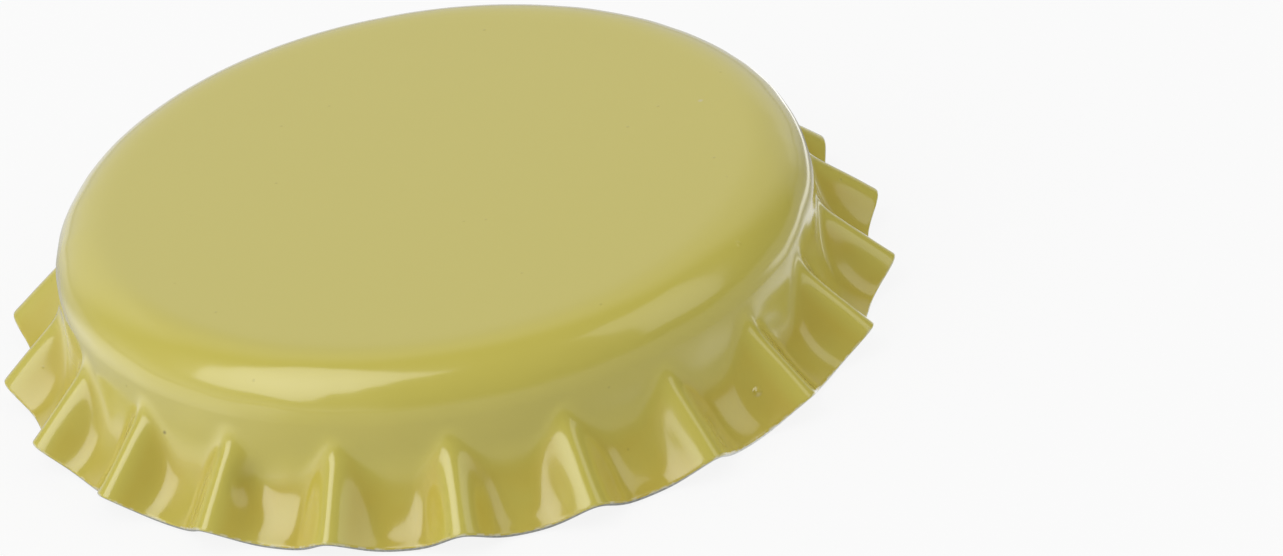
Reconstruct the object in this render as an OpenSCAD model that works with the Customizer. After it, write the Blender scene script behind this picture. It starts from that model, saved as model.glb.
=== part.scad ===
// Crown cap: a pressed tinplate shell with a fluted skirt, and the soft
// sealing liner that is moulded under its panel. Millimetres.
// The cap lies on the edge of its skirt, panel up. The origin is the centre
// of the circle it rests on, +Z points out of the panel, and one ridge of
// the skirt lies on +X.

/* [Shell] */
// Height from the table to the top of the panel
cap_height = 6.2; // [6.05:0.05:6.6]
// Inside diameter of the plain wall, which slips over the bottle's lip
bore_d = 26.6; // [26.4:0.05:26.9]
// Thickness of the tinplate sheet
sheet_t = 0.24; // [0.18:0.01:0.28]
// Outside radius of the bend between panel and wall
corner_r = 1.9; // [1.5:0.05:2.1]

/* [Flutes] */
// Number of flutes round the skirt
flute_count = 21; // [19:1:23]
// Diameter over the tips of the ridges
tip_d = 32.1; // [31.6:0.1:32.6]
// Diameter over the edge at the middle of the valleys
valley_d = 30.4; // [30:0.1:30.8]
// Angle from upright at which the sheet ends in a valley
valley_angle = 54; // [50:1:58]
// Angle from upright of a ridge's straight crest
ridge_angle = 46; // [43:1:49]
// Height of a ridge's tip above the table
tip_lift = 1; // [0.8:0.05:1.2]
// Radius of the bend where a ridge leaves the wall
ridge_root_r = 0.8; // [0.4:0.1:1.2]
// How much narrower the ridges are than the valleys at the edge
ridge_narrowness = 2.1; // [1.8:0.1:2.6]
// How much narrower still the ridges are where they leave the wall
root_narrowness = 12; // [6:1:14]

/* [Liner] */
// Thickness of the membrane across the panel
membrane_t = 0.3; // [0.2:0.05:0.5]
// Depth of the sealing ring below the panel
seal_depth = 1.2; // [1:0.05:1.35]
// Gap between the sealing ring and the plain wall of the shell
seal_gap = 0.4; // [0.3:0.05:0.7]
// Width of the sealing ring
seal_w = 2; // [1.6:0.1:2.4]
// Radius of the rounded edges of the sealing ring
seal_edge_r = 0.35; // [0.2:0.05:0.5]
// Distance from the sealing ring in to the middle of the thin lip
lip_inset = 1.1; // [0.8:0.1:2]
// Radius of the lip's round section
lip_r = 0.35; // [0.2:0.05:0.5]
// Gap between the liner and the bend of the shell
liner_gap = 0.1; // [0.05:0.01:0.2]

/* [Hidden] */
$fn = 180;

// Shell: radii and heights of the plain cup above the flutes
bore_r = bore_d / 2;
wall_r = bore_r + sheet_t;
bend_start_r = wall_r - corner_r;
wall_top = cap_height - corner_r;
underside = cap_height - sheet_t;

// Valley: one long bend that takes the whole flare
valley_out = valley_d / 2 - wall_r;
valley_bend_r = valley_out / (1 - cos(valley_angle));
valley_edge_z = sheet_t * sin(valley_angle);
valley_start = valley_edge_z + valley_bend_r * sin(valley_angle);

// Ridge: a short bend, then a straight crest out to the tip
ridge_out = tip_d / 2 - wall_r;
ridge_fall = ridge_out / tan(ridge_angle);
ridge_tangent = ridge_root_r * tan(ridge_angle / 2);
ridge_start = tip_lift + ridge_fall + ridge_tangent;

// Lengths along the sheet, from the top of the flutes down to the edge
skirt_top = max(valley_start, ridge_start);
valley_drop = skirt_top - valley_start;
valley_length = valley_drop + arc_length(valley_bend_r, valley_angle);
ridge_drop = skirt_top - ridge_start;
ridge_crest = norm([ridge_out, ridge_fall]) - ridge_tangent;
ridge_length = ridge_drop + arc_length(ridge_root_r, ridge_angle) + ridge_crest;

// Join of flutes and cup: the flutes end in a rim tucked inside the wall
seam = sheet_t / 4;
tuck = sheet_t / 4;
lap = min(sheet_t / 2, (wall_top - skirt_top) / 2);

// Mesh of the flutes: columns in a flute, crowded towards its ridge, and
// bands from top to edge
columns = 12;
crowding = 0.4;
bands = 9;
probe = 0.001;

// Liner: the ring's section, and the bend that follows the shell's bend
seal_r = bore_r - seal_gap;
seal_in_r = seal_r - seal_w;
lip_centre_r = seal_in_r - lip_inset;
seal_z = underside - seal_depth;
liner_bend_r = corner_r - sheet_t - liner_gap;

function arc_length(radius, angle) = radius * angle * PI / 180;

function unit(v) = v / norm(v);

// A line down the sheet that is straight, bends outwards and is straight
// again. Gives the radius and height at a distance d from its top.
function down_line(d, drop, bend_r, bend_a) =
    let (turn = min(max((d - drop) / bend_r * 180 / PI, 0), bend_a))
    let (past = max(d - drop - arc_length(bend_r, bend_a), 0))
    [
        wall_r + bend_r * (1 - cos(turn)) + past * sin(bend_a),
        skirt_top - min(d, drop) - bend_r * sin(turn) - past * cos(bend_a)
    ];

function valley_line(s) =
    down_line(s * valley_length, valley_drop, valley_bend_r, valley_angle);

function ridge_line(s) =
    down_line(s * ridge_length, ridge_drop, ridge_root_r, ridge_angle);

// Share of the ridge line in the section: 1 on a ridge, 0 in a valley. The
// peak narrows towards the wall, so a crest is equally round all its length.
function ridge_share(u, s) =
    let (narrowness = ridge_narrowness + root_narrowness * pow(1 - s, 5))
    pow((1 + cos(360 * u)) / 2, narrowness);

// Outer face of the skirt. u counts flutes round the cap, s runs from 0 at
// the top of the flutes to 1 at the edge.
function outer_point(u, s) =
    let (share = ridge_share(u, s))
    let (line = (1 - share) * valley_line(s) + share * ridge_line(s))
    let (angle = 360 * u / flute_count)
    [line[0] * cos(angle), line[0] * sin(angle), line[1]];

function outward(u, s) =
    let (around = outer_point(u + probe, s) - outer_point(u - probe, s))
    let (upward = outer_point(u, s - probe) - outer_point(u, s + probe))
    unit(cross(around, upward));

// Inner face, one sheet thickness behind the outer one
function inner_point(u, s) = outer_point(u, s) - sheet_t * outward(u, s);

function rim_point(u, radius) =
    let (angle = 360 * u / flute_count)
    [radius * cos(angle), radius * sin(angle), skirt_top + seam + lap];

// Place of a column in its flute, for t from 0 to 1
function crowded(t) = t - crowding * sin(360 * t) / (2 * PI);

// Closed outline of the sheet at one column: down the outer face, across
// the cut edge, up the inner face and over the tucked rim
function section(u) = concat(
    [rim_point(u, wall_r - tuck)],
    [for (i = [0:bands]) outer_point(u, i / bands)],
    [for (i = [bands:-1:0]) inner_point(u, i / bands)],
    [rim_point(u, bore_r + tuck)]
);

// The fluted skirt, as a loft through one section at each column
module flutes() {
    places = [
        for (flute = [0:flute_count - 1])
            for (k = [0:columns - 1])
                flute + crowded(k / columns)
    ];
    count = len(places);
    size = len(section(0));
    corners = [for (u = places) each section(u)];
    sides = [
        for (j = [0:count - 1])
            for (i = [0:size - 1])
                let (next_j = (j + 1) % count)
                let (next_i = (i + 1) % size)
                let (a = j * size + i)
                let (b = next_j * size + i)
                let (c = next_j * size + next_i)
                let (d = j * size + next_i)
                each [[a, b, c], [a, c, d]]
    ];
    polyhedron(points = corners, faces = sides, convexity = 8);
}

// Half section of the plain cup: panel, bend and wall
module cup_section() {
    translate([0, underside])
        square([bend_start_r, sheet_t]);
    translate([bend_start_r, wall_top])
        intersection() {
            difference() {
                circle(r = corner_r);
                circle(r = corner_r - sheet_t);
            }
            square(corner_r);
        }
    translate([bore_r, skirt_top + seam])
        square([sheet_t, wall_top - skirt_top - seam]);
}

// Half section of the liner: a membrane, a thin lip and the sealing ring,
// whose shoulder follows the bend of the shell
module liner_section() {
    translate([0, underside - membrane_t])
        square([seal_in_r + seal_edge_r, membrane_t]);
    intersection() {
        translate([lip_centre_r, underside - membrane_t])
            circle(r = lip_r);
        square([seal_r, underside]);
    }
    intersection() {
        ring_section();
        union() {
            square([bend_start_r, underside]);
            square([seal_r, underside - liner_bend_r]);
            translate([bend_start_r, underside - liner_bend_r])
                circle(r = liner_bend_r);
        }
    }
}

// Half section of the sealing ring with its two rounded lower edges
module ring_section() {
    translate([seal_in_r, seal_z + seal_edge_r])
        square([seal_w, seal_depth - seal_edge_r]);
    translate([seal_in_r + seal_edge_r, seal_z])
        square([seal_w - 2 * seal_edge_r, seal_depth]);
    for (r = [seal_in_r + seal_edge_r, seal_r - seal_edge_r])
        translate([r, seal_z + seal_edge_r])
            circle(r = seal_edge_r);
}

module shell() {
    color([0.76, 0.73, 0.43])
        union() {
            rotate_extrude()
                cup_section();
            flutes();
        }
}

module liner() {
    color([0.93, 0.93, 0.9])
        rotate_extrude()
            liner_section();
}

shell();
liner();
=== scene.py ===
# %% [markdown]
# # A crown cap, dressed for the camera
# A crown cap is a disc of thin tinplate that a press has drawn into a shallow
# cup, with a skirt folded into 21 flutes. The sheet is printed or lacquered
# flat, before it is pressed, so the outside carries a glossy coat, the inside
# only a clear varnish, and the cut edge shows bare metal. A soft liner that
# seals the bottle sits under the panel.
#
# The construction model is loaded first as a fixed frame. Everything that
# this lesson makes stands in that frame, in metres, and its sizes come from
# it wherever it gives them.

# %% Load the frame and keep its box
import math
import bpy
import bmesh
from mathutils import Matrix, Vector


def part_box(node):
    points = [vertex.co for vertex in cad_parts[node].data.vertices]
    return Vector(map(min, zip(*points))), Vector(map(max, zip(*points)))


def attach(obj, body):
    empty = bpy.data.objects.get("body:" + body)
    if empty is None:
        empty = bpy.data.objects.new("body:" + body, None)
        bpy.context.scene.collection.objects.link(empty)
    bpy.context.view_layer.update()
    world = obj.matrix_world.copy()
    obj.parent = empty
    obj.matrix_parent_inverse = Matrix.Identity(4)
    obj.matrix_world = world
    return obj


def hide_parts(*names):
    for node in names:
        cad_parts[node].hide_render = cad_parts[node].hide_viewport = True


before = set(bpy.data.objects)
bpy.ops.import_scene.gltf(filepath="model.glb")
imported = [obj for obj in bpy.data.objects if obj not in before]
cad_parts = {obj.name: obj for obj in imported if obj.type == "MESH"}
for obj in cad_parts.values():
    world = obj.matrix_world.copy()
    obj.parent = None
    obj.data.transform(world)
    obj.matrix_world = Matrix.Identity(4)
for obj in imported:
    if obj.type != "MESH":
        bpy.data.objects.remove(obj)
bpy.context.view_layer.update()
MM = 0.001

print("Nodes:", sorted(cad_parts))

# %% [markdown]
# ## Sizes
# The height of the cap comes from the frame. The others are the sizes that a
# press tool for such a cap is drawn with: the sheet, the plain wall, the bend
# and the two lines that the sheet follows down the skirt. In a valley the
# sheet takes one long bend outwards. On a ridge it makes a short bend and
# then runs straight to the tip, which ends above the table because the sheet
# is equally long everywhere.

# %% Sizes of the shell
shell_low, shell_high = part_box("shell")
cap_height = shell_high.z
sheet = 0.24 * MM
wall_radius = 13.54 * MM
bend_radius = 1.9 * MM
flutes = 21
pitch = 2 * math.pi / flutes
tip_radius = 16.05 * MM
tip_height = 1.0 * MM
ridge_angle = math.radians(46)
ridge_root = 1.5 * MM
edge_radius = 15.2 * MM
valley_angle = math.radians(50)
lip_angle = math.radians(65)
lip_bend = 2.0 * MM
# powers of the cosine that blends the two lines: at the edge, and what comes
# on top of it at the wall and fades out downwards
edge_narrowness = 2.1
root_narrowness = 12
narrowness_fade = 5

lip_out = lip_bend * (math.cos(valley_angle) - math.cos(lip_angle))
lip_fall = lip_bend * (math.sin(lip_angle) - math.sin(valley_angle))
valley_bend = (edge_radius - wall_radius - lip_out) / (1 - math.cos(valley_angle))
valley_fall = valley_bend * math.sin(valley_angle) + lip_fall
valley_start = sheet * math.sin(lip_angle) + valley_fall
ridge_out = tip_radius - wall_radius
ridge_fall = ridge_out / math.tan(ridge_angle)
ridge_tangent = ridge_root * math.tan(ridge_angle / 2)
ridge_start = tip_height + ridge_fall + ridge_tangent
skirt_top = max(valley_start, ridge_start)
wall_top = cap_height - bend_radius

print(f"Skirt starts {skirt_top / MM:.2f} mm up, wall ends {wall_top / MM:.2f} mm up")

# %% [markdown]
# Each line runs straight down, bends outwards and runs straight again, so one
# function walks down a list of bends. Between a ridge and a valley the sheet
# lies between the two lines. A raised cosine blends them, and it is narrower
# near the wall, so that a crest is equally round all its length.

# %% The two lines down the skirt
def down_line(distance, drop, bends):
    """Radius and height at a distance down a line: straight, its bends, straight."""
    left = max(distance - drop, 0)
    radius, height, slope = wall_radius, skirt_top - min(distance, drop), 0.0
    for bend, last_slope in bends:
        turn = min(left / bend, last_slope - slope)
        radius += bend * (math.cos(slope) - math.cos(slope + turn))
        height -= bend * (math.sin(slope + turn) - math.sin(slope))
        left -= turn * bend
        slope += turn
    return radius + left * math.sin(slope), height - left * math.cos(slope)


valley_drop = skirt_top - valley_start
valley_bends = [(valley_bend, valley_angle), (lip_bend, lip_angle)]
valley_length = valley_drop + valley_bend * valley_angle
valley_length += lip_bend * (lip_angle - valley_angle)
ridge_drop = skirt_top - ridge_start
ridge_bends = [(ridge_root, ridge_angle)]
ridge_crest = math.hypot(ridge_out, ridge_fall) - ridge_tangent
ridge_length = ridge_drop + ridge_root * ridge_angle + ridge_crest


def skirt_place(offset, share_down):
    """Radius and height of the sheet: offset from a ridge in flutes, 0 to 1 down."""
    narrowness = edge_narrowness + root_narrowness * (1 - share_down) ** narrowness_fade
    peak = ((1 + math.cos(2 * math.pi * offset)) / 2) ** narrowness
    valley = down_line(share_down * valley_length, valley_drop, valley_bends)
    ridge = down_line(share_down * ridge_length, ridge_drop, ridge_bends)
    return tuple((1 - peak) * v + peak * r for v, r in zip(valley, ridge))


print(f"Length down a valley {valley_length / MM:.2f} mm, "
      f"down a ridge {ridge_length / MM:.2f} mm")

# %% [markdown]
# ## Helpers for modelling as by hand
# Every operator works on what is selected, so each step first picks its
# vertices in code, by place, as a hand would with the mouse.

# %% Small helpers for edit mode
def let_go():
    """Deselects everything, so that the next operator meets only its own piece."""
    bpy.ops.object.select_all(action="DESELECT")


def take(piece):
    """Selects one piece alone and makes it the active one."""
    let_go()
    piece.select_set(True)
    bpy.context.view_layer.objects.active = piece


def edit(piece):
    take(piece)
    bpy.ops.object.mode_set(mode="EDIT")
    bpy.context.tool_settings.mesh_select_mode = (True, False, False)


def done():
    bpy.ops.object.mode_set(mode="OBJECT")


def pick(piece, wanted):
    """Selects the vertices for which wanted(vertex) is true."""
    mesh = bmesh.from_edit_mesh(piece.data)
    for vertex in mesh.verts:
        vertex.select_set(bool(wanted(vertex)))
    mesh.select_flush_mode()
    bmesh.update_edit_mesh(piece.data)


def apply_modifier(piece, kind, **settings):
    """Adds a modifier with its settings and applies it."""
    take(piece)
    modifier = piece.modifiers.new(kind.title(), kind)
    for name, value in settings.items():
        setattr(modifier, name, value)
    bpy.ops.object.modifier_apply(modifier=modifier.name)


def tell(piece):
    """Prints how many triangles a piece has, and its size."""
    box = [round(d / MM, 2) for d in piece.dimensions]
    triangles = sum(len(p.vertices) - 2 for p in piece.data.polygons)
    print(f"{piece.name}: {triangles} triangles, {box} mm")


# %% [markdown]
# ## One flute of the shell
# All flutes are alike, so one is modelled and copied. It starts as a short
# arc of a circle at the top of the skirt. The arc's vertices are crowded
# towards the ridge, where the sheet turns most tightly. Each next ring is
# extruded from the last, and each pair of vertices at the same offset from
# the ridge is then set to its radius and height.

# %% Start with an arc, one flute wide
columns = 16
crowding = 0.4
# a little over half, so that the two end vertices stay
half_flute = pitch * 0.51

let_go()
bpy.ops.mesh.primitive_circle_add(
    vertices=flutes * columns, radius=wall_radius, fill_type="NOTHING",
    location=(0, 0, skirt_top),
)
shell = bpy.context.object
shell.name = "shell_lacquered"
bpy.ops.object.transform_apply(location=True, rotation=True, scale=True)


def turn_of(place):
    """Angle of a place round the axis, from +X."""
    return math.atan2(place.y, place.x)


edit(shell)
pick(shell, lambda v: abs(turn_of(v.co)) > half_flute)
bpy.ops.mesh.delete(type="VERT")


def along(piece):
    """Indices of the selected vertices, in order round the axis."""
    mesh = bmesh.from_edit_mesh(piece.data)
    chosen = [v for v in mesh.verts if v.select]
    return [v.index for v in sorted(chosen, key=lambda v: turn_of(v.co))]


def place_of(piece, index):
    """Place of one vertex in edit mode."""
    mesh = bmesh.from_edit_mesh(piece.data)
    mesh.verts.ensure_lookup_table()
    return mesh.verts[index].co.copy()


pick(shell, lambda v: True)
ring = along(shell)
middle = len(ring) // 2
for step, index in enumerate(ring):
    share = (step - middle) / columns
    shift = crowding * math.sin(2 * math.pi * share) / (2 * math.pi) * pitch
    pick(shell, lambda v: v.index == index)
    # with no window the turn goes the other way, so the shift isn't negated
    bpy.ops.transform.rotate(value=shift, orient_axis="Z", center_override=(0, 0, 0))
pick(shell, lambda v: True)
offsets = [abs(turn_of(place_of(shell, index))) / pitch for index in ring[middle:]]
print("Offsets from the ridge in flutes:", [round(offset, 3) for offset in offsets])

# %% Extrude the rings and set them out
def set_out(piece, ring, places):
    """Moves each pair of a ring's vertices to its (radius, height), ridge first."""
    centre = len(ring) // 2
    for step, (radius, height) in enumerate(places):
        pair = {ring[centre - step], ring[centre + step]}
        at = place_of(piece, ring[centre + step])
        grow = radius / math.hypot(at.x, at.y)
        pick(piece, lambda v: v.index in pair)
        bpy.ops.transform.resize(value=(grow, grow, 1), center_override=(0, 0, 0))
        bpy.ops.transform.translate(value=(0, 0, height - at.z))
    pick(piece, lambda v: v.index in set(ring))


def next_ring(piece, places):
    """Extrudes the selected ring and sets the new one out."""
    bpy.ops.mesh.extrude_region_move()
    set_out(piece, along(piece), places)


bands = 15
# above 1 the rings stand closer together at the top, where a ridge bends
band_crowding = 1.25
for band in range(1, bands + 1):
    share_down = (band / bands) ** band_crowding
    next_ring(shell, [skirt_place(offset, share_down) for offset in offsets])

# %% [markdown]
# The same arc is picked again and extruded the other way: up the plain wall,
# round the bend and in across the panel. Two rings close together hold the
# bend where it meets the flat panel.

# %% Extrude the wall, the bend and the panel
bend_steps = 7
flat_start = wall_radius - bend_radius
# radii of the panel's rings, as shares of the flat part
panel_rings = (0.96, 0.8, 0.5, 0.2)
same_height = sheet * 0.01

pick(shell, lambda v: abs(v.co.z - skirt_top) < same_height)
upper_lines = [(wall_radius, (skirt_top + wall_top) / 2)]
for step in range(bend_steps + 1):
    turn = math.pi / 2 * step / bend_steps
    upper_lines.append((
        wall_radius - bend_radius * (1 - math.cos(turn)),
        wall_top + bend_radius * math.sin(turn),
    ))
upper_lines += [(flat_start * share, cap_height) for share in panel_rings]
for line_place in upper_lines:
    next_ring(shell, [line_place] * len(offsets))
done()
tell(shell)

# %% [markdown]
# ## All round
# Spin in duplicate mode repeats the flute round the axis. The copies meet
# edge to edge, so their doubles are merged, the small hole at the middle is
# filled, and the faces are turned outwards before the sheet gets its
# thickness.

# %% Repeat the flute and close the panel
merge_distance = 0.005 * MM
hole_radius = flat_start * panel_rings[-1]

edit(shell)
pick(shell, lambda v: True)
bpy.ops.mesh.spin(
    steps=flutes - 1, dupli=True, angle=pitch * (flutes - 1),
    center=(0, 0, 0), axis=(0, 0, 1),
)
pick(shell, lambda v: True)
bpy.ops.mesh.remove_doubles(threshold=merge_distance)
pick(shell, lambda v: v.co.z > cap_height - sheet / 2
     and math.hypot(v.co.x, v.co.y) < hole_radius + sheet)
bpy.ops.mesh.edge_face_add()
pick(shell, lambda v: True)
bpy.ops.mesh.normals_make_consistent(inside=False)
done()
tell(shell)

# %% [markdown]
# ## Pressed sheet is never quite true
# A flute is not stretched evenly, and the sheet springs back a little when
# the punch leaves it. A Displace modifier with soft clouds moves the wall
# and the skirt by one or two hundredths of a millimetre, which is too little
# to see in the outline and enough to bend every reflection a little. A vertex
# group keeps it off the panel, which the press leaves flat.

# %% Waves of one or two hundredths of a millimetre
def weigh(piece, name, weight):
    """A vertex group in which weight(place) says how much each vertex counts."""
    group = piece.vertex_groups.new(name=name)
    for vertex in piece.data.vertices:
        group.add([vertex.index], weight(vertex.co), "REPLACE")
    return group.name


def pressed_share(place):
    """0 on the panel, 1 from the wall outwards."""
    radius = math.hypot(place.x, place.y)
    return min(max((radius - flat_start) / bend_radius, 0.0), 1.0)


wave_length = 2.4 * MM
# the clouds' full range, of which they mostly use the middle
wave_height = 0.08 * MM

take(shell)
waves = bpy.data.textures.new("spring_back", "CLOUDS")
waves.noise_scale = wave_length
waves.noise_depth = 1
apply_modifier(
    shell, "DISPLACE", texture=waves, texture_coords="LOCAL", mid_level=0.5,
    strength=wave_height, vertex_group=weigh(shell, "pressed", pressed_share),
)
tell(shell)

# %% [markdown]
# ## A dent
# Loose caps knock against each other in the hopper, and this one has a
# shallow dent in one of its flutes. Sculpting could make it. Proportional
# editing is quicker: one vertex is pushed in, and its neighbours follow it
# less and less towards the edge of the dent.

# %% Push in a dent
def dent(piece, place, inwards, depth, reach):
    """Pushes the sheet in round a place in mm. The reach is the dent's radius."""
    centre = Vector(place) * MM
    nearest = min(piece.data.vertices, key=lambda v: (v.co - centre).length).index
    edit(piece)
    pick(piece, lambda v: v.index == nearest)
    bpy.ops.transform.translate(
        value=Vector(inwards) * depth, use_proportional_edit=True,
        proportional_edit_falloff="SMOOTH", proportional_size=reach,
    )
    done()
    print(f"Dent of {depth / MM:.2f} mm at {place}")


dent(shell, place=(-6.12, -12.75, 1.95), inwards=(-0.42, 0.79, -0.45),
     depth=0.21 * MM, reach=1.2 * MM)

# %% [markdown]
# ## The thickness of the sheet and its cut edge
# Up to here the shell is a surface. Solidify gives it the thickness of the
# sheet, inwards, and puts the inside and the cut edge in material slots of
# their own. The punch that cuts the disc from the strip rolls the corners of
# the cut over, so a small bevel rounds them, and one level of subdivision
# smooths the whole sheet.

# %% Give it the thickness of the sheet and smooth it
cut_round = 0.09 * MM
shell_slots = {"outside": 0, "inside": 1, "cut edge": 2}

take(shell)
for _ in shell_slots:
    bpy.ops.object.material_slot_add()
apply_modifier(
    shell, "SOLIDIFY", thickness=sheet, offset=-1, use_even_offset=True,
    material_offset=shell_slots["inside"], material_offset_rim=shell_slots["cut edge"],
)
apply_modifier(
    shell, "BEVEL", width=cut_round, segments=3, limit_method="ANGLE",
    angle_limit=math.radians(60), material=-1,
)
# the plain subdivision is quick where the limit surface is slow, at the
# middle of the panel where 336 edges meet
apply_modifier(shell, "SUBSURF", levels=1, render_levels=1, use_limit_surface=False)
take(shell)
bpy.ops.object.shade_smooth()
tell(shell)

# %% [markdown]
# ## The liner
# The liner is soft compound, pressed under the panel by a punch: a thin
# membrane, a thin lip and a thick ring that the bottle's lip sinks into. It
# is the same all round, so half its section is drawn and spun.

# %% Spin the liner
liner_low, liner_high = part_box("liner")
underside = liner_high.z
ring_low = liner_low.z
ring_out = liner_high.x
membrane = 0.3 * MM
ring_wide = 2.0 * MM
ring_round = 0.35 * MM
lip_inset = 1.1 * MM
lip_radius = 0.35 * MM
shoulder_gap = 0.1 * MM
shoulder = bend_radius - sheet - shoulder_gap
spin_steps = 144


def arc(centre, radius, start, end, count):
    """Points along an arc in the half section, angles in degrees."""
    turns = [math.radians(start + (end - start) * k / count) for k in range(count + 1)]
    return [(centre[0] + radius * math.cos(t), centre[1] + radius * math.sin(t))
            for t in turns]


ring_in = ring_out - ring_wide
membrane_low = underside - membrane
lip_centre = ring_in - lip_inset
shoulder_centre = (flat_start, underside - shoulder)
shoulder_end = math.degrees(math.acos((ring_out - shoulder_centre[0]) / shoulder))
outline = [(0, membrane_low)]
outline += arc((lip_centre, membrane_low), lip_radius, 180, 360, 10)
outline += [(ring_in, membrane_low)]
outline += arc((ring_in + ring_round, ring_low + ring_round), ring_round, 180, 270, 6)
outline += arc((ring_out - ring_round, ring_low + ring_round), ring_round, 270, 360, 6)
outline += arc(shoulder_centre, shoulder, shoulder_end, 90, 8)
outline += [(0, underside)]

let_go()
bpy.ops.mesh.primitive_plane_add(size=1 * MM, location=(0, 0, 0))
liner = bpy.context.object
liner.name = "liner_moulded"
edit(liner)
pick(liner, lambda v: True)
bpy.ops.mesh.merge(type="CENTER")
pick(liner, lambda v: True)
bpy.ops.transform.translate(value=(outline[0][0], 0, outline[0][1]))
for (r0, z0), (r1, z1) in zip(outline, outline[1:]):
    step_out = {"value": (r1 - r0, 0, z1 - z0)}
    bpy.ops.mesh.extrude_region_move(TRANSFORM_OT_translate=step_out)
pick(liner, lambda v: True)
bpy.ops.mesh.spin(steps=spin_steps, angle=2 * math.pi, center=(0, 0, 0), axis=(0, 0, 1))
pick(liner, lambda v: True)
bpy.ops.mesh.remove_doubles(threshold=merge_distance)
pick(liner, lambda v: True)
bpy.ops.mesh.normals_make_consistent(inside=False)
done()
take(liner)
bpy.ops.object.shade_smooth_by_angle(angle=math.radians(40))
tell(liner)

# %% [markdown]
# ## Colour and nodes
# A colour card gives a colour as an sRGB hex value, while a shader works in
# linear light, so one function turns one into the other. Materials are built
# from nodes. One small helper adds a node, sets its options and fills its
# inputs, each with a number or with a link from another node's output.

# %% Colour and node helpers
def linear(hex_colour):
    """Linear RGBA from an sRGB hex value."""
    channels = [int(hex_colour[i:i + 2], 16) / 255 for i in (1, 3, 5)]
    return [c / 12.92 if c <= 0.04045 else ((c + 0.055) / 1.055) ** 2.4
            for c in channels] + [1]


def add(tree, kind, inputs=None, **settings):
    """Adds a node; an input that is given a socket is linked, any other is set."""
    node = tree.nodes.new(kind)
    for name, value in settings.items():
        setattr(node, name, value)
    for name, value in (inputs or {}).items():
        if isinstance(value, bpy.types.NodeSocket):
            tree.links.new(value, node.inputs[name])
        else:
            node.inputs[name].default_value = value
    return node


def new_material(name):
    """An empty material and its node tree."""
    material = bpy.data.materials.new(name)
    material.use_nodes = True
    material.node_tree.nodes.clear()
    return material, material.node_tree


olive_yellow = "#c2b755"
print("Olive yellow in linear light:", [round(c, 3) for c in linear(olive_yellow)])

# %% [markdown]
# ## Places on a cap
# A cap is round, so where a mark belongs is said best by its distance from
# the axis and by its turn round it. Object coordinates give a place in
# metres from the origin, which is the cap's centre, and vector nodes turn
# that into a radius. The patterns then keep their real size, and they stay
# on the sheet when the cap is moved. A single mark is said best by the
# distance from its own centre.

# %% Distance from the axis and from a point
def radius_at(tree, place):
    """Distance of a place from the cap's axis."""
    flat = add(tree, "ShaderNodeVectorMath", {0: place, 1: (1, 1, 0)},
               operation="MULTIPLY")
    radius = add(tree, "ShaderNodeVectorMath", {0: flat.outputs["Vector"]},
                 operation="LENGTH")
    return radius.outputs["Value"]


def mark_at(tree, place, centre, radius):
    """1 at the centre of a round mark, 0 from its radius outwards, both in mm."""
    centre = [coordinate * MM for coordinate in centre]
    away = add(tree, "ShaderNodeVectorMath", {0: place, 1: centre}, operation="DISTANCE")
    return add(tree, "ShaderNodeMapRange", {
        "Value": away.outputs["Value"], "From Max": radius * MM,
        "To Min": 1.0, "To Max": 0.0,
    }, interpolation_type="SMOOTHSTEP").outputs["Result"]


# %% [markdown]
# ## The lacquer outside
# The real finish is baked enamel: an opaque olive yellow film, a few
# thousandths of a millimetre thick, that is rolled on to the flat sheet and
# cured in an oven. It flows out before it sets, so it shines like a wet
# surface, and a second clear layer on the shader gives that sharp shine over
# the softer one of the pigment. On the skirt, away from the crests, the colour
# is painted a little darker, warmer and more saturated, in patches about 2 mm
# across: painted shade, and painted yellow light that the flutes throw on
# each other.

# %% Colour of the enamel, with painted shade in the flutes
lacquer, tree = new_material("baked_enamel_olive_yellow")
place = add(tree, "ShaderNodeTexCoord").outputs["Object"]
radius = radius_at(tree, place)
split = add(tree, "ShaderNodeSeparateXYZ", {0: place}).outputs
drawn = add(tree, "ShaderNodeMapRange", {
    "Value": radius, "From Min": 13.5 * MM, "From Max": 13.9 * MM,
}, interpolation_type="SMOOTHSTEP").outputs["Result"]
turned = add(tree, "ShaderNodeMath", {0: split["Y"], 1: split["X"]}, operation="ARCTAN2")
flute_turn = add(tree, "ShaderNodeMath", {0: turned.outputs[0], 1: flutes},
                 operation="MULTIPLY")
# 1 on a ridge, -1 in the middle of a valley
ridge_wave = add(tree, "ShaderNodeMath", {0: flute_turn.outputs[0]}, operation="COSINE")
hollow = add(tree, "ShaderNodeMapRange", {
    "Value": ridge_wave.outputs[0], "From Min": 0.97, "From Max": 0.5,
}, interpolation_type="SMOOTHSTEP").outputs["Result"]
patches = add(tree, "ShaderNodeTexNoise", {"Vector": place, "Scale": 1 / (2.2 * MM)})
patchy = add(tree, "ShaderNodeMapRange", {
    "Value": patches.outputs["Fac"], "From Min": 0.3, "From Max": 0.7,
    "To Min": 0.15, "To Max": 0.55,
}).outputs["Result"]
# painted shade: on the skirt, away from the crests, patches get a darker, warmer colour
# for the flutes' shade and the yellow light they bounce on each other
flute_shade_mask = add(tree, "ShaderNodeMath", {0: drawn, 1: hollow}, operation="MULTIPLY")
warm = add(tree, "ShaderNodeMath", {0: flute_shade_mask.outputs[0], 1: patchy},
           operation="MULTIPLY")
# bfa63c is the painted shade colour of the flutes
film = add(tree, "ShaderNodeMix", {
    0: warm.outputs[0], 6: linear(olive_yellow), 7: linear("#bfa63c"),
}, data_type="RGBA").outputs[2]

# %% [markdown]
# Small flaws make the film look real. Dust falls on it while it is wet and
# leaves nibs, tiny points about 0.1 mm across. A Voronoi texture scatters
# them, since it tells how far the nearest of many scattered points is.

# %% Dust nibs
nib_spacing = 1.5 * MM
nib_core, nib_reach = 0.03 * MM, 0.075 * MM
nib_tint = 0.3

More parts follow.
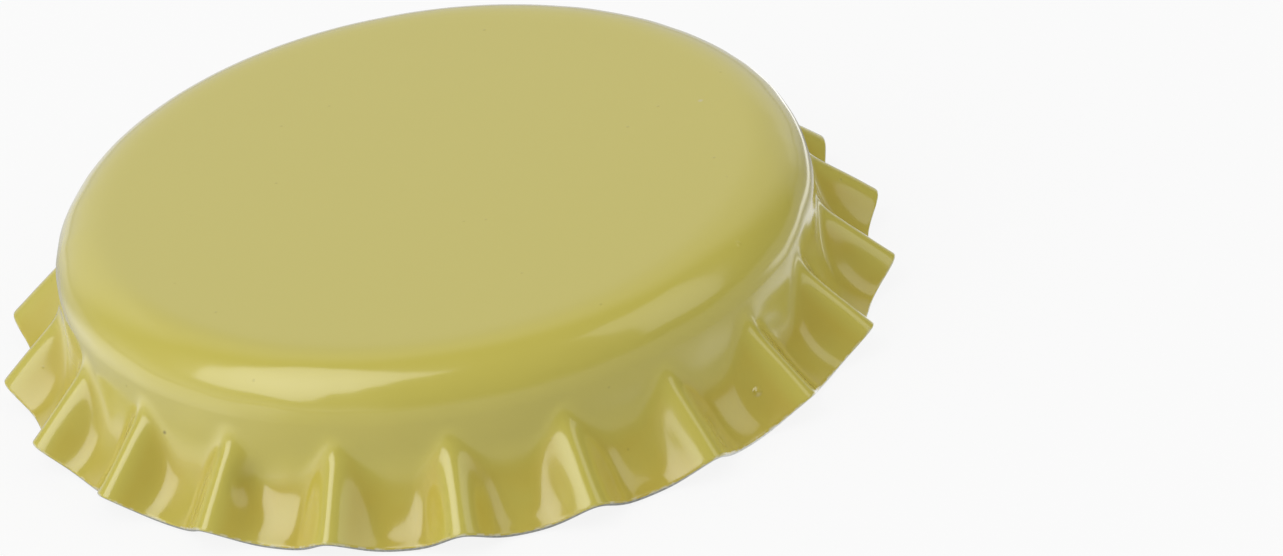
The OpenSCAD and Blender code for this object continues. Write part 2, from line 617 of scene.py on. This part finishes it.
nib_cells = add(tree, "ShaderNodeTexVoronoi", {"Vector": place, "Scale": 1 / nib_spacing})
nib = add(tree, "ShaderNodeMapRange", {
    "Value": nib_cells.outputs["Distance"],
    "From Min": nib_core / nib_spacing, "From Max": nib_reach / nib_spacing,
    "To Min": 1.0, "To Max": 0.0,
}).outputs["Result"]
nib_share = add(tree, "ShaderNodeMath", {0: nib, 1: nib_tint}, operation="MULTIPLY")
film = add(tree, "ShaderNodeMix", {
    0: nib_share.outputs[0], 6: film, 7: linear("#8f8338"),
}, data_type="RGBA").outputs[2]

# %% [markdown]
# A few larger flaws are seen one by one, so each has its own place and size
# in a table. Stains lie in the film: a speck of dirt and a pale spot, and each
# mixes in its own colour. Grains lie under it, and it runs over them without
# a change of colour, so they only raise it and catch the light.

# %% Stains and grains
# place and radius in mm, share of the colour, colour
stains = {
    "speck of dirt": ((-9.29, -9.96, 2.76), 0.11, 0.8, "#6f6325"),
    "pale spot": ((9.67, 3.39, 6.2), 0.14, 0.6, "#c4bb9b"),
}
for centre, size, most, colour in stains.values():
    mark = mark_at(tree, place, centre, size)
    stain = add(tree, "ShaderNodeMath", {0: mark, 1: most}, operation="MULTIPLY")
    film = add(tree, "ShaderNodeMix", {
        0: stain.outputs[0], 6: film, 7: linear(colour),
    }, data_type="RGBA").outputs[2]

# place and radius in mm, height in thousandths of a millimetre
grains = {
    "large grain": ((11.36, -8.94, 1.36), 0.22, 80),
    "small grain": ((11.22, -6.21, 5.78), 0.16, 14),
}
raised = 0.0
for centre, size, height in grains.values():
    mark = mark_at(tree, place, centre, size)
    raised = add(tree, "ShaderNodeMath", {0: mark, 1: height, 2: raised},
                 operation="MULTIPLY_ADD").outputs[0]
print("Marks:", ", ".join([*stains, *grains]))

# %% [markdown]
# The die breaks the film where it cuts the sheet, so it is chipped along the
# edge, down to the metal. On the whole edge of the skirt the radius and the
# height change together, so one sum of the two tells how far a place is from
# the edge. Chips are likely next to the edge, and noise breaks them up.

# %% Chips along the edge
# height of the edge in the middle of a valley
edge_height = 0.2 * MM
edge_slope = (tip_radius - edge_radius) / (tip_height - edge_height)
edge_line = edge_radius - edge_slope * edge_height
# distances from the edge at which chips begin and at which they are densest
chips_begin, chips_dense = 0.15 * MM, 0.04 * MM

lift = add(tree, "ShaderNodeMath", {0: split["Z"], 1: edge_slope}, operation="MULTIPLY")
outward = add(tree, "ShaderNodeMath", {0: radius, 1: lift.outputs[0]},
              operation="SUBTRACT")
rim = add(tree, "ShaderNodeMapRange", {
    "Value": outward.outputs[0],
    "From Min": edge_line - chips_begin, "From Max": edge_line - chips_dense,
}).outputs["Result"]
crumbs = add(tree, "ShaderNodeTexNoise", {
    "Vector": place, "Scale": 1 / (0.3 * MM), "Detail": 3.0})
broken = add(tree, "ShaderNodeMapRange", {
    "Value": crumbs.outputs["Fac"], "From Min": 0.46, "From Max": 0.62, "To Max": 0.8,
}).outputs["Result"]
chips = add(tree, "ShaderNodeMath", {0: rim, 1: broken}, operation="MULTIPLY").outputs[0]
film = add(tree, "ShaderNodeMix", {0: chips, 6: film, 7: linear("#d6d5bf")},
           data_type="RGBA").outputs[2]
print(f"The edge lies at radius - {edge_slope:.3f} x height = {edge_line / MM:.2f} mm")

# %% [markdown]
# The shine comes last. Cured enamel keeps a faint orange peel, waves about a
# millimetre long and less than a thousandth high. The bump adds the nibs and
# the grains to it and takes the chips out of it. The pigment's own gloss
# varies a little over the sheet, and the clear layer on top stays even.

# %% Relief and gloss of the enamel
# in thousandths of a millimetre, as the peel's own height is 1
nib_height, chip_depth = 4.0, 6.5

peel = add(tree, "ShaderNodeTexNoise", {
    "Vector": place, "Scale": 1 / (0.9 * MM), "Detail": 1.0})
with_nibs = add(tree, "ShaderNodeMath", {0: nib, 1: nib_height, 2: peel.outputs["Fac"]},
                operation="MULTIPLY_ADD")
with_chips = add(tree, "ShaderNodeMath", {
    0: chips, 1: -chip_depth, 2: with_nibs.outputs[0]}, operation="MULTIPLY_ADD")
relief = add(tree, "ShaderNodeMath", {0: with_chips.outputs[0], 1: raised},
             operation="ADD")
bump = add(tree, "ShaderNodeBump", {
    "Height": relief.outputs[0], "Strength": 1.0, "Distance": 0.001 * MM,
}).outputs["Normal"]
gloss_cloud = add(tree, "ShaderNodeTexNoise", {
    "Vector": place, "Scale": 1 / (3.5 * MM), "Detail": 3.0})
gloss = add(tree, "ShaderNodeMapRange", {
    "Value": gloss_cloud.outputs["Fac"],
    "From Min": 0.3, "From Max": 0.7, "To Min": 0.17, "To Max": 0.23,
}).outputs["Result"]
enamel = add(tree, "ShaderNodeBsdfPrincipled", {
    "Base Color": film, "Roughness": gloss, "IOR": 1.5, "Normal": bump,
    "Coat Weight": 1.0, "Coat Roughness": 0.11, "Coat IOR": 1.5, "Coat Normal": bump,
})
add(tree, "ShaderNodeOutputMaterial", {"Surface": enamel.outputs["BSDF"]})
print(f"{lacquer.name}: {len(tree.nodes)} nodes")

# %% [markdown]
# ## The tinplate inside
# Inside, the sheet shows its tin through a thin clear varnish. Tinplate is
# rolled in long strips, and the rolls leave very fine straight lines that
# all run one way. They could be drawn as a bump alone, but the lines also
# scatter light, so they change the roughness and darken the colour a little
# as well. Real lines are some hundredths of a millimetre apart, too fine to
# show here, so they are drawn about 0.15 mm apart. The baked varnish is a
# little yellow, and unevenly so.

# %% Varnished tinplate
tinplate, tree = new_material("rolled_tinplate_varnished")
place = add(tree, "ShaderNodeTexCoord").outputs["Object"]
drawn_out = add(tree, "ShaderNodeMapping", {"Vector": place, "Scale": (0.03, 1, 1)})
lines = add(tree, "ShaderNodeTexNoise", {
    "Vector": drawn_out.outputs["Vector"], "Scale": 1 / (0.15 * MM), "Detail": 3.0,
}).outputs["Fac"]
varnish = add(tree, "ShaderNodeTexNoise", {
    "Vector": place, "Scale": 1 / (4.0 * MM), "Detail": 3.0}).outputs["Fac"]
uneven = add(tree, "ShaderNodeMapRange", {
    "Value": varnish, "From Min": 0.35, "From Max": 0.7}).outputs["Result"]
tin = add(tree, "ShaderNodeMix", {0: uneven, 6: linear("#d2cdbf"), 7: linear("#c6bb9e")},
          data_type="RGBA").outputs[2]
groove = add(tree, "ShaderNodeMapRange", {
    "Value": lines, "From Min": 0.4, "From Max": 0.75, "To Max": 0.35}).outputs["Result"]
tin = add(tree, "ShaderNodeMix", {0: groove, 6: tin, 7: linear("#a9a595")},
          data_type="RGBA").outputs[2]
scatter = add(tree, "ShaderNodeMapRange", {
    "Value": lines, "From Min": 0.3, "From Max": 0.7, "To Min": 0.24, "To Max": 0.36,
}).outputs["Result"]
bump = add(tree, "ShaderNodeBump", {
    "Height": lines, "Strength": 1.0, "Distance": 0.002 * MM}).outputs["Normal"]
metal = add(tree, "ShaderNodeBsdfPrincipled", {
    "Base Color": tin, "Metallic": 1.0, "Roughness": scatter, "Normal": bump,
    "Coat Weight": 0.5, "Coat Roughness": 0.15, "Coat IOR": 1.5,
})
add(tree, "ShaderNodeOutputMaterial", {"Surface": metal.outputs["BSDF"]})
print(f"{tinplate.name}: {len(tree.nodes)} nodes")

# %% [markdown]
# ## Bare steel at the cut
# A punch cuts the disc from the strip. It shears the first part of the
# thickness bright and tears the rest, so the edge is a thin line of bare
# steel with a grain of about a tenth of a millimetre. It has a material of
# its own, because it is the only place where no film covers the metal.

# %% Sheared steel
cut_steel, tree = new_material("sheared_steel_edge")
place = add(tree, "ShaderNodeTexCoord").outputs["Object"]
torn = add(tree, "ShaderNodeTexNoise", {
    "Vector": place, "Scale": 1 / (0.12 * MM), "Detail": 3.0}).outputs["Fac"]
grain_share = add(tree, "ShaderNodeMapRange", {
    "Value": torn, "From Min": 0.35, "From Max": 0.7}).outputs["Result"]
steel = add(tree, "ShaderNodeMix", {
    0: grain_share, 6: linear("#cfd1c9"), 7: linear("#a9aba3"),
}, data_type="RGBA").outputs[2]
bump = add(tree, "ShaderNodeBump", {
    "Height": torn, "Strength": 1.0, "Distance": 0.006 * MM}).outputs["Normal"]
metal = add(tree, "ShaderNodeBsdfPrincipled", {
    "Base Color": steel, "Metallic": 1.0, "Roughness": 0.3, "Normal": bump})
add(tree, "ShaderNodeOutputMaterial", {"Surface": metal.outputs["BSDF"]})
print(f"{cut_steel.name}: {len(tree.nodes)} nodes")

# %% [markdown]
# ## The compound of the liner
# The liner is a soft sealing compound that a warm punch presses flat. It
# lets a little light in, like wax, so it gets some subsurface scattering. As
# it flows outwards under the punch it leaves faint rings about half a
# millimetre apart, and its skin is slightly grainy. The rings are a sine of
# the radius, and the grain is noise.

# %% Moulded compound
compound, tree = new_material("moulded_sealing_compound")
place = add(tree, "ShaderNodeTexCoord").outputs["Object"]
radius = radius_at(tree, place)
ring_phase = add(tree, "ShaderNodeMath", {0: radius, 1: 2 * math.pi / (0.55 * MM)},
                 operation="MULTIPLY")
rings = add(tree, "ShaderNodeMath", {0: ring_phase.outputs[0]}, operation="SINE")
grain = add(tree, "ShaderNodeTexNoise", {
    "Vector": place, "Scale": 1 / (0.5 * MM), "Detail": 3.0}).outputs["Fac"]
cloudy = add(tree, "ShaderNodeTexNoise", {
    "Vector": place, "Scale": 1 / (3.0 * MM), "Detail": 3.0}).outputs["Fac"]
cloud_share = add(tree, "ShaderNodeMapRange", {
    "Value": cloudy, "From Min": 0.35, "From Max": 0.7}).outputs["Result"]
pale = add(tree, "ShaderNodeMix", {
    0: cloud_share, 6: linear("#e9e7e0"), 7: linear("#e2dfd6"),
}, data_type="RGBA").outputs[2]
relief = add(tree, "ShaderNodeMath", {0: rings.outputs[0], 1: 0.35, 2: grain},
             operation="MULTIPLY_ADD")
bump = add(tree, "ShaderNodeBump", {
    "Height": relief.outputs[0], "Strength": 1.0, "Distance": 0.008 * MM,
}).outputs["Normal"]
skin = add(tree, "ShaderNodeMapRange", {
    "Value": grain, "From Min": 0.3, "From Max": 0.7, "To Min": 0.36, "To Max": 0.5,
}).outputs["Result"]
soft = add(tree, "ShaderNodeBsdfPrincipled", {
    "Base Color": pale, "Roughness": skin, "IOR": 1.5, "Normal": bump,
    "Subsurface Weight": 0.15, "Subsurface Scale": 0.6 * MM,
})
add(tree, "ShaderNodeOutputMaterial", {"Surface": soft.outputs["BSDF"]})
print(f"{compound.name}: {len(tree.nodes)} nodes")

# %% [markdown]
# ## Dressing the pieces
# Both pieces move with the cap's one rigid body, and each stands in for its
# plain node in the construction model. The shell has three materials. The
# Solidify modifier has already handed out their slots: 0 is the outside, 1 the
# inside and 2 the cut edge.

# %% Materials, body and node of each piece
def dress(piece, node, slot, *materials):
    """Puts the materials on a piece, and the piece in the place of its node."""
    while len(piece.data.materials) < len(materials):
        piece.data.materials.append(None)
    for index, material in enumerate(materials):
        piece.data.materials[index] = material
    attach(piece, "root")
    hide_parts(node)
    print(f"{piece.name} replaces {node}: {', '.join(m.name for m in materials)}")


dress(shell, "shell", "lacquered_tinplate", lacquer, tinplate, cut_steel)
dress(liner, "liner", "liner_compound", compound)

# %% [markdown]
# ## A floor that a gloss can see
# A glossy coat is a mirror, so half of its look is what surrounds it. A cap
# on an endless white sheet would look chalky, and a product photographer
# darkens the table with black cards just outside the frame and leaves white
# strips between them, which draw thin lines of light along the bends.
#
# Here the floor does that alone. The camera sees white paper that keeps the
# cap's shadow. Rays that come from a gloss see cards instead, brighter to the
# left and behind and dim to the right, with one narrow strip there and a
# bright patch close under the right edge. Light Path tells the two kinds of
# ray apart, and the light on the cap stays the same.

# %% Two kinds of ray
def seen_by(tree):
    """1 where the camera looks, also through glass, and 1 where a gloss looks."""
    path = add(tree, "ShaderNodeLightPath").outputs
    direct = add(tree, "ShaderNodeMath", {
        0: path["Is Camera Ray"], 1: path["Is Transmission Ray"],
    }, operation="MAXIMUM").outputs[0]
    return direct, path["Is Glossy Ray"]


# %% Paper floor
floor_size = 6.0

let_go()
bpy.ops.mesh.primitive_plane_add(size=floor_size, location=(0, 0, shell_low.z))
floor = bpy.context.object
floor.name = "floor_sheet"
paper, tree = new_material("white_paper_with_cards")
place = add(tree, "ShaderNodeTexCoord").outputs["Object"]
far = add(tree, "ShaderNodeVectorMath", {0: place}, operation="LENGTH").outputs["Value"]
heading = add(tree, "ShaderNodeVectorMath", {0: place},
              operation="NORMALIZE").outputs["Vector"]
direct, mirrored = seen_by(tree)

# %% [markdown]
# Each card is a soft patch on the floor. A dot product with the card's
# direction says how far round the cap a place lies, and two fades over the
# distance give its near and far edge. The cards are only numbers in a table,
# and a loop adds the same few nodes for each. Directions are given by two
# angles, as on a globe: the azimuth runs round from +X towards +Y, and the
# elevation rises from the floor.

# %% Cards on the floor
def towards(azimuth, elevation=0.0):
    """The direction that two angles in degrees give."""
    round_z, up = math.radians(azimuth), math.radians(elevation)
    return Vector((
        math.cos(up) * math.cos(round_z), math.cos(up) * math.sin(round_z), math.sin(up)))


# azimuth; cosines at the patch's edge and heart, and brightness at each; the
# distances in mm where it starts, is full, begins to fade and has faded, with
# -2 and -1 for one that is full from the cap on; the share that is left there
floor_cards = {
    "left to right": (45, -1.0, 1.0, 0.56, 0.18, -2, -1, 60, 180, 0.2),
    "white behind": (98, 0.5, 0.85, 0.0, 0.45, -2, -1, 60, 300, 0.3),
    "white at the left": (-160, 0.75, 0.96, 0.0, 0.75, 17, 23, 60, 200, 0.0),
    "strip at the right": (30, 0.8, 0.9, 0.0, 1.3, 20, 22, 24, 26, 0.0),
    "under the right edge": (-10, 0.6, 0.9, 0.0, 0.9, -2, -1, 17, 20, 0.0),
}
cards = 0.0
for azimuth, edge, heart, dim, bright, start, full, last, end, left in \
        floor_cards.values():
    lean = add(tree, "ShaderNodeVectorMath", {0: heading, 1: towards(azimuth)},
               operation="DOT_PRODUCT")
    amount = add(tree, "ShaderNodeMapRange", {
        "Value": lean.outputs["Value"], "From Min": edge, "From Max": heart,
        "To Min": dim, "To Max": bright,
    }, interpolation_type="LINEAR" if edge == -1.0 else "SMOOTHSTEP").outputs["Result"]
    near_fade = add(tree, "ShaderNodeMapRange", {
        "Value": far, "From Min": start * MM, "From Max": full * MM,
    }, interpolation_type="SMOOTHSTEP").outputs["Result"]
    far_fade = add(tree, "ShaderNodeMapRange", {
        "Value": far, "From Min": last * MM, "From Max": end * MM,
        "To Min": 1.0, "To Max": left,
    }, interpolation_type="LINEAR" if left else "SMOOTHSTEP").outputs["Result"]
    reach = add(tree, "ShaderNodeMath", {0: near_fade, 1: far_fade}, operation="MULTIPLY")
    cards = add(tree, "ShaderNodeMath", {0: amount, 1: reach.outputs[0], 2: cards},
                operation="MULTIPLY_ADD").outputs[0]
print("Cards on the floor:", ", ".join(floor_cards))

# %% [markdown]
# The floor mixes matt paper with a glow. For the camera most of it glows
# white, and the matt rest takes the cap's shadow. For a gloss it glows as
# bright as the cards. All other light meets plain matt paper.

# %% Mix the paper and the glow
white_glow, cards_glow = 0.88, 0.8

seen_cards = add(tree, "ShaderNodeMath", {0: cards, 1: mirrored}, operation="MULTIPLY")
strength = add(tree, "ShaderNodeMath", {0: direct, 1: seen_cards.outputs[0]},
               operation="MAXIMUM")
white = add(tree, "ShaderNodeMath", {0: direct, 1: white_glow}, operation="MULTIPLY")
gleam = add(tree, "ShaderNodeMath", {0: mirrored, 1: cards_glow}, operation="MULTIPLY")
share = add(tree, "ShaderNodeMath", {0: white.outputs[0], 1: gleam.outputs[0]},
            operation="MAXIMUM")
matt = add(tree, "ShaderNodeBsdfDiffuse", {"Color": linear("#d4d4d4")})
glow = add(tree, "ShaderNodeEmission", {"Strength": strength.outputs[0]})
both = add(tree, "ShaderNodeMixShader", {
    "Fac": share.outputs[0], 1: matt.outputs["BSDF"], 2: glow.outputs["Emission"]})
add(tree, "ShaderNodeOutputMaterial", {"Surface": both.outputs["Shader"]})
floor.data.materials.append(paper)
print(f"{floor.name} lies {floor.location.z / MM:.2f} mm up")

# %% [markdown]
# ## The room
# The world is white where the camera looks past the floor, and an even pale
# grey for all matt light, which fills the shadows as a white room does. For a
# gloss it is mostly dark, because the walls of a studio are far away and
# unlit, with three soft patches: the horizon in front, the wall at the left
# and the backdrop, whose brightness changes where the sheet sweeps up.

# %% World
world = bpy.data.worlds.new("studio")
bpy.context.scene.world = world
world.use_nodes = True
tree = world.node_tree
tree.nodes.clear()
way = add(tree, "ShaderNodeTexCoord").outputs["Generated"]
direct, mirrored = seen_by(tree)
# azimuth, elevation; cosines at the patch's edge and heart; brightness; the
# direction that its fade runs along, where it starts and ends, factor at each
room_patches = {
    "horizon in front": (-110, 0, -0.1, 0.9, 0.3, (0, 0, 1), 0.0, 0.12, 1.0, 0.0),
    "wall at the left": (-155, 0, 0.4, 0.92, 0.65, (0, 0, 1), 0.0, 0.3, 1.0, 0.3),
    "backdrop": (98, 20, 0.5, 0.85, 0.54, (0.5, 0, 1), 0.435, 0.46, 1.2, 0.83),
}
room = 0.0
for azimuth, elevation, edge, heart, bright, fade_way, start, end, first, last in \
        room_patches.values():
    lean = add(tree, "ShaderNodeVectorMath", {0: way, 1: towards(azimuth, elevation)},
               operation="DOT_PRODUCT")
    amount = add(tree, "ShaderNodeMapRange", {
        "Value": lean.outputs["Value"],
        "From Min": edge, "From Max": heart, "To Max": bright,
    }, interpolation_type="SMOOTHSTEP").outputs["Result"]
    rise = add(tree, "ShaderNodeVectorMath", {0: way, 1: fade_way},
               operation="DOT_PRODUCT")
    fade = add(tree, "ShaderNodeMapRange", {
        "Value": rise.outputs["Value"], "From Min": start, "From Max": end,
        "To Min": first, "To Max": last,
    }).outputs["Result"]
    room = add(tree, "ShaderNodeMath", {0: amount, 1: fade, 2: room},
               operation="MULTIPLY_ADD").outputs[0]
matt_fill = 0.67
unseen = add(tree, "ShaderNodeMix", {0: mirrored, 2: matt_fill, 3: room},
             data_type="FLOAT")
strength = add(tree, "ShaderNodeMath", {0: direct, 1: unseen.outputs[0]},
               operation="MAXIMUM")
sky = add(tree, "ShaderNodeBackground", {
    "Color": (1, 1, 1, 1), "Strength": strength.outputs[0]})
add(tree, "ShaderNodeOutputWorld", {"Surface": sky.outputs["Background"]})
print("Patches of the room:", ", ".join(room_patches))

# %% [markdown]
# ## Softboxes
# Two softboxes give the light its direction. The large one stands at the
# left and draws the long highlight on the bend. The small one at the right
# is weak and draws the short one. A softbox is brighter in its middle than at
# its edges, which a spread below 180 degrees imitates. Its lit cloth also
# looks brighter in a mirror than its light on matt paint suggests, so a weak
# second lamp in front of the large one shows only in the gloss. A low strip
# of white card at the left throws light back on the wall and the skirt. It
# shows only on the matt film, since the gloss already has the floor's cards.

# %% Place the softboxes
def facing(way, roll):
    """Turn of a lamp or camera that looks along a direction, rolled in degrees."""
    look = way.to_track_quat("-Z", "Y").to_matrix().to_4x4()
    return (look @ Matrix.Rotation(math.radians(roll), 4, "Z")).to_euler()


def softbox(name, azimuth, elevation, distance, width, height, roll, power,
            matt=True, gloss=True):
    """A lit panel that faces the cap. Angles in degrees, sizes in metres."""
    away = towards(azimuth, elevation)
    data = bpy.data.lights.new(name, "AREA")
    data.shape = "RECTANGLE"
    data.size, data.size_y, data.energy = width, height, power
    data.spread = math.radians(130)
    lamp = bpy.data.objects.new(name, data)
    bpy.context.collection.objects.link(lamp)
    lamp.location = away * distance
    lamp.rotation_euler = facing(-away, roll)
    lamp.visible_camera = False
    lamp.visible_diffuse, lamp.visible_glossy = matt, gloss
    print(f"{name}: {width} x {height} m, {power} W")


# azimuth, elevation, distance, width, height, roll, power
softbox("key_softbox", -146, 48, 1.0, 0.74, 1.15, -2, 2.35)
softbox("key_gleam", -146, 48, 0.97, 0.72, 1.12, -2, 0.65, matt=False)
softbox("left_bounce", -172, 9, 1.0, 1.0, 0.3, 0, 1.1, gloss=False)
softbox("side_softbox", -7, 38, 1.0, 0.56, 0.9, -13, 0.7)

# %% [markdown]
# ## Camera
# A long lens from nearly half a metre away keeps the round panel an almost
# true ellipse. The camera looks down at 30 degrees and is rolled by nine, so
# the cap seems to lean, though it lies flat on the floor.

# %% Set up the camera
aim = Vector((7.34, -3.30, 3.1)) * MM
# from the cap back to the camera
back = towards(-83.55, 30.09)
camera_distance = 455.25 * MM
camera_roll = -9.14

let_go()
bpy.ops.object.camera_add()
camera = bpy.context.object
camera.name = "camera"
camera.location = aim + back * camera_distance
camera.rotation_euler = facing(-back, camera_roll)
camera.data.sensor_width = 36
camera.data.lens = 363.2
bpy.context.scene.camera = camera
print(f"Camera: {camera.data.lens} mm lens, {camera_distance / MM:.0f} mm away")

# %% [markdown]
# ## Finish
# The Standard view transform shows each colour as it is written.

# %% View
bpy.context.scene.view_settings.view_transform = "Standard"
